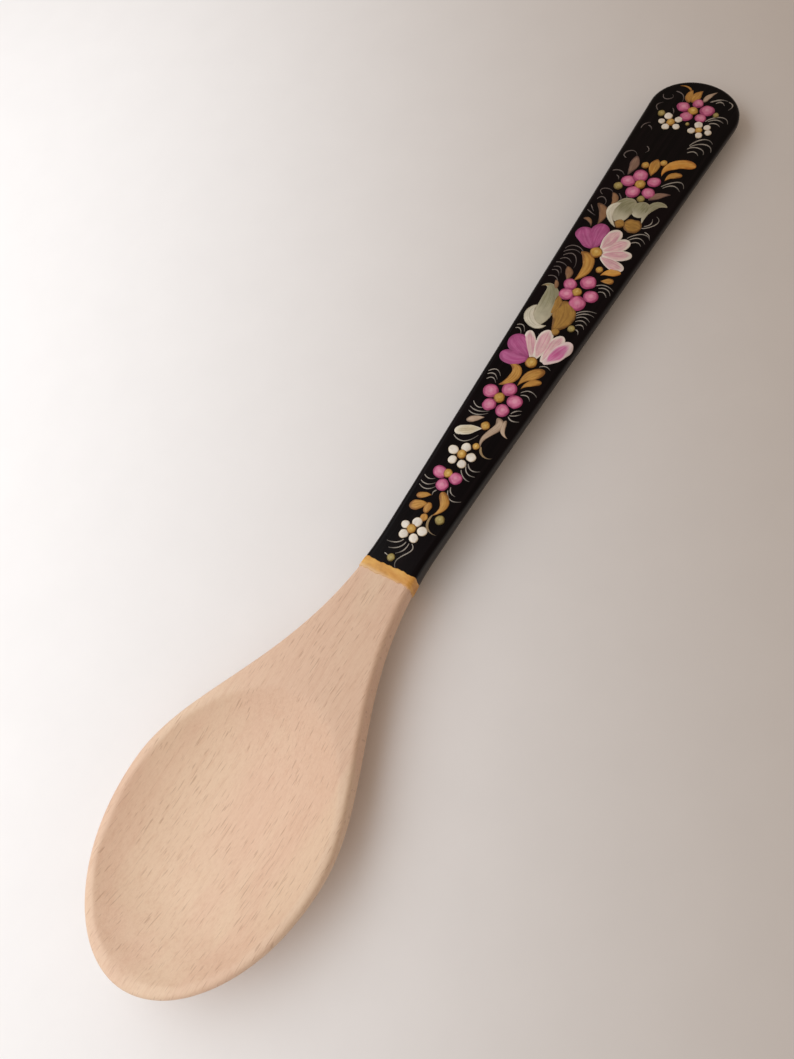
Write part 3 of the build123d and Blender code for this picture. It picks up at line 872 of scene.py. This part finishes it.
UPPER_RIGHT = [
    [(190.8, -3.4), (192.7, -5.2), (193.2, -8.0)], [(190.8, -4.8), (192.0, -6.2), (190.9, -7.7)],
    [(193.0, -8.3), (192.0, -10.0), (189.6, -9.5)], [(190.6, -3.0), (191.9, -4.2), (192.4, -5.9)],
    [(182.3, -5.1), (185.2, -7.4), (186.0, -10.0), (184.0, -11.9)],
    [(182.6, -5.9), (184.3, -8.2), (183.8, -10.6)],
    [(181.7, -6.6), (182.7, -8.5), (181.9, -10.2)],
    [(170.8, -5.1), (173.9, -6.7), (175.4, -9.0), (174.2, -11.4)],
    [(170.4, -5.4), (172.9, -8.2), (173.1, -10.8), (170.8, -12.3)],
    [(169.2, -5.1), (171.0, -7.4), (170.7, -9.7), (169.0, -10.6)],
    [(167.8, -5.8), (169.1, -7.7), (168.0, -9.4)],
    [(151.8, -4.7), (154.3, -6.7), (155.8, -9.3), (153.8, -11.3)],
    [(151.4, -5.4), (153.6, -8.2), (152.2, -10.8)],
]
UPPER_LEFT = [
    [(188.2, 12.3), (186.5, 10.7), (187.7, 9.0), (189.1, 9.7)],
    [(190.9, 9.2), (190.2, 6.4), (187.3, 5.3)],
    [(181.0, 10.8), (182.8, 12.1), (184.8, 10.7)], [(183.6, 6.9), (182.6, 6.0), (181.2, 5.7)],
    [(171.6, 12.2), (173.7, 11.9), (175.1, 10.4)], [(173.6, 10.6), (173.4, 9.6), (172.2, 8.7)],
    [(165.3, 6.9), (164.1, 5.6), (162.6, 6.1)],
    [(158.2, 10.5), (159.7, 11.9), (161.7, 10.3), (160.0, 7.8)],
    [(151.6, 12.0), (152.6, 9.8), (151.4, 7.8)], [(150.4, 10.0), (149.9, 9.0), (148.9, 8.6)],
]
LOWER_RIGHT = [
    [(134.2, -6.6), (135.8, -9.0), (138.6, -10.4), (140.3, -8.9)],
    [(135.2, -7.2), (137.0, -8.6), (139.0, -8.2)],
    [(128.8, -4.7), (131.3, -6.6), (132.4, -9.0), (131.1, -11.2)],
    [(128.4, -5.5), (130.4, -8.0), (129.1, -10.6)],
    [(127.7, -6.6), (128.7, -8.4), (127.8, -9.9)], [(133.2, -8.4), (132.9, -9.8), (131.6, -10.9)],
    [(108.7, -4.7), (110.0, -7.2), (109.1, -10.4)], [(108.1, -5.8), (108.9, -8.2), (107.2, -10.3)],
    [(106.9, -6.4), (107.4, -8.0), (106.1, -9.5)],
    [(96.2, -3.9), (98.9, -6.2), (99.8, -9.8)], [(96.0, -4.5), (98.2, -7.0), (98.2, -9.8)],
    [(95.6, -5.1), (96.9, -7.2), (96.0, -9.4)], [(94.4, -5.5), (95.5, -7.4), (94.6, -9.2)],
    [(93.1, -6.2), (94.0, -7.8), (92.9, -9.1)], [(91.9, -6.9), (91.6, -7.8), (90.5, -8.4)],
    [(75.4, -3.9), (76.4, -5.6), (75.8, -7.4)],
    [(65.2, -3.5), (66.9, -5.6), (66.0, -8.4)], [(64.5, -3.9), (65.1, -5.8), (63.9, -7.2)],
    [(57.8, -4.5), (59.2, -5.4), (60.0, -6.9)], [(57.1, -4.4), (57.7, -5.8), (59.0, -7.2)],
    [(56.7, -4.3), (55.9, -5.8), (56.6, -8.0)],
    [(38.0, -2.1), (36.6, -3.9), (37.5, -6.4)], [(37.0, -1.9), (35.2, -3.5), (35.3, -6.0)],
    [(35.4, -1.3), (33.6, -3.2), (33.3, -5.3)], [(29.3, -1.6), (27.7, -2.7), (27.4, -4.3)],
    [(28.1, -1.4), (25.8, -3.5), (26.8, -6.6)],
]
LOWER_LEFT = [
    [(141.4, 10.2), (143.2, 11.5), (144.3, 9.6), (143.0, 7.5)],
    [(139.0, 10.9), (140.5, 9.2), (138.9, 7.7), (137.2, 8.7)],
    [(143.9, 5.8), (142.2, 4.2), (140.3, 4.2)], [(144.2, 3.2), (142.9, 2.6), (141.6, 2.5)],
    [(134.0, 11.6), (133.4, 10.2), (132.8, 8.2)], [(136.2, 11.5), (135.4, 10.8), (134.0, 9.4)],
    [(117.2, 10.4), (119.6, 8.2), (119.0, 5.4), (116.4, 3.7)],
    [(115.9, 10.3), (118.0, 7.6), (117.4, 5.0)],
    [(114.6, 9.7), (116.3, 6.6), (113.9, 4.8), (111.6, 4.5)],
    [(113.0, 9.9), (114.2, 8.0), (113.2, 6.0)],
    [(111.4, 10.4), (112.0, 8.4), (111.2, 6.4)],
    [(109.5, 10.2), (110.2, 8.4), (108.2, 6.9)], [(108.2, 10.1), (108.7, 8.4), (107.0, 7.0)],
    [(105.7, 10.0), (106.4, 7.8), (103.7, 5.6)],
    [(85.6, 9.4), (86.3, 7.8), (84.4, 6.2)], [(84.4, 9.3), (84.8, 8.0), (83.1, 6.7)],
    [(67.4, 8.7), (69.0, 6.8), (67.5, 4.6)], [(66.4, 8.4), (67.4, 6.8), (66.0, 4.8)],
    [(64.8, 7.8), (66.0, 6.4), (64.8, 4.6)],
    [(56.6, 7.3), (55.4, 5.0), (56.6, 2.9)], [(54.6, 7.3), (54.2, 4.6), (55.8, 1.4)],
    [(53.2, 6.9), (52.9, 4.5), (55.0, 1.3)],
    [(44.2, 6.6), (43.6, 3.2), (47.4, 0.1)],
    [(29.2, 7.1), (28.7, 5.3), (29.6, 3.7)], [(27.2, 7.1), (26.9, 4.9), (28.5, 2.9)],
    [(25.9, 6.9), (25.6, 4.2), (27.7, 2.1)],
    [(26.6, 1.4), (25.6, 1.9), (24.6, 1.7)],
    [(9.4, 1.4), (7.6, 2.8), (6.8, 5.5)], [(9.0, 0.4), (6.7, 1.4), (5.2, 4.0)],
    [(9.0, -0.5), (6.6, -0.3), (4.6, 1.3)],
    [(9.3, -1.2), (7.3, -2.2), (4.0, -0.4), (0.9, -1.2)], [(3.4, 4.0), (3.2, 3.2), (3.0, 2.4)],
]
for line in UPPER_RIGHT:
    hair("upper_hair", line, 0.44, HAIR, "upper_hair_fans")
for line in UPPER_LEFT:
    hair("upper_scroll", line, 0.42, FAINT_HAIR, "upper_hair_fans")
for line in LOWER_RIGHT:
    hair("lower_hair", line, 0.37, HAIR, "lower_hair_fans")
for line in LOWER_LEFT:
    hair("lower_scroll", line, 0.36, FAINT_HAIR if line[0][0] > 100 else HAIR, "lower_hair_fans")
for points, width in [
    ([(19.6, -1.7), (16.2, -1.9), (14.8, -3.4), (14.7, -5.9)], 0.75),
    ([(44.4, -2.6), (43.0, -3.2), (42.0, -4.9), (42.7, -7.3)], 0.75),
    ([(102.3, 6.8), (102.6, 8.4), (101.4, 10.0)], 0.8),
]:
    stem = brush_stroke("curled_stem", points, width, comma_end, 0.12, 0.02, 22, 12)
    hand_in(stem, STEM, "curled_stems")


# ---------------------------------------------------------------- floor, light and camera
# A plain pale sheet lies under the spoon. One big soft light shines from the side, with a weak
# warm fill all round.


def paper():
    mat, tree, shader = new_material("pale_floor")
    tooth = clouds(tree, stretched(tree, (60, 60, 60)), 1.0, 4.0)
    tree.links.new(mixed(tree, tooth, (0.83, 0.82, 0.83, 1), (0.87, 0.86, 0.87, 1)),
                   shader.inputs["Base Color"])
    shader.inputs["Roughness"].default_value = 0.85
    shader.inputs["Specular IOR Level"].default_value = 0.2
    return mat


bpy.ops.mesh.primitive_plane_add(size=6, location=(0, 0, -0.00003))
floor = bpy.context.object
floor.name = "floor"
floor.data.materials.append(paper())


def soft_light(name, place, aim, size, size_y, power, colour):
    """A broad rectangular light, its first side turned to lie along the spoon."""
    lamp = bpy.data.lights.new(name, "AREA")
    lamp.shape = "RECTANGLE"
    lamp.size = size
    lamp.size_y = size_y
    lamp.energy = power
    lamp.spread = math.radians(132)
    lamp.color = colour
    holder = bpy.data.objects.new(name, lamp)
    bpy.context.scene.collection.objects.link(holder)
    holder.location = place
    across = (Vector(place) - Vector(aim)).normalized()
    along = Vector((0.84, 0.54, 0.0)).cross(across).cross(across).normalized() * -1
    turned = Matrix((along, across.cross(along), across)).transposed()
    holder.rotation_euler = turned.to_euler()
    return holder


soft_light("key", (-0.232, 0.156, 0.235), (-0.228, 0.150, 0.0), 0.95, 0.40, 1.42, (0.90, 0.96, 1.0))
scene = bpy.context.scene
world = bpy.data.worlds.new("studio")
scene.world = world
world.use_nodes = True
world.node_tree.nodes["Background"].inputs["Color"].default_value = (1.0, 0.78, 0.6, 1)
world.node_tree.nodes["Background"].inputs["Strength"].default_value = 0.38
scene.view_settings.view_transform = "Standard"

camera_data = bpy.data.cameras.new("camera")
camera_data.lens = 28.9
camera_data.sensor_width = 36
camera = bpy.data.objects.new("camera", camera_data)
scene.collection.objects.link(camera)
camera.location = (-0.0790, -0.0720, 0.2335)
camera.rotation_euler = [math.radians(a) for a in (20.91, 9.41, -57.23)]
scene.camera = camera
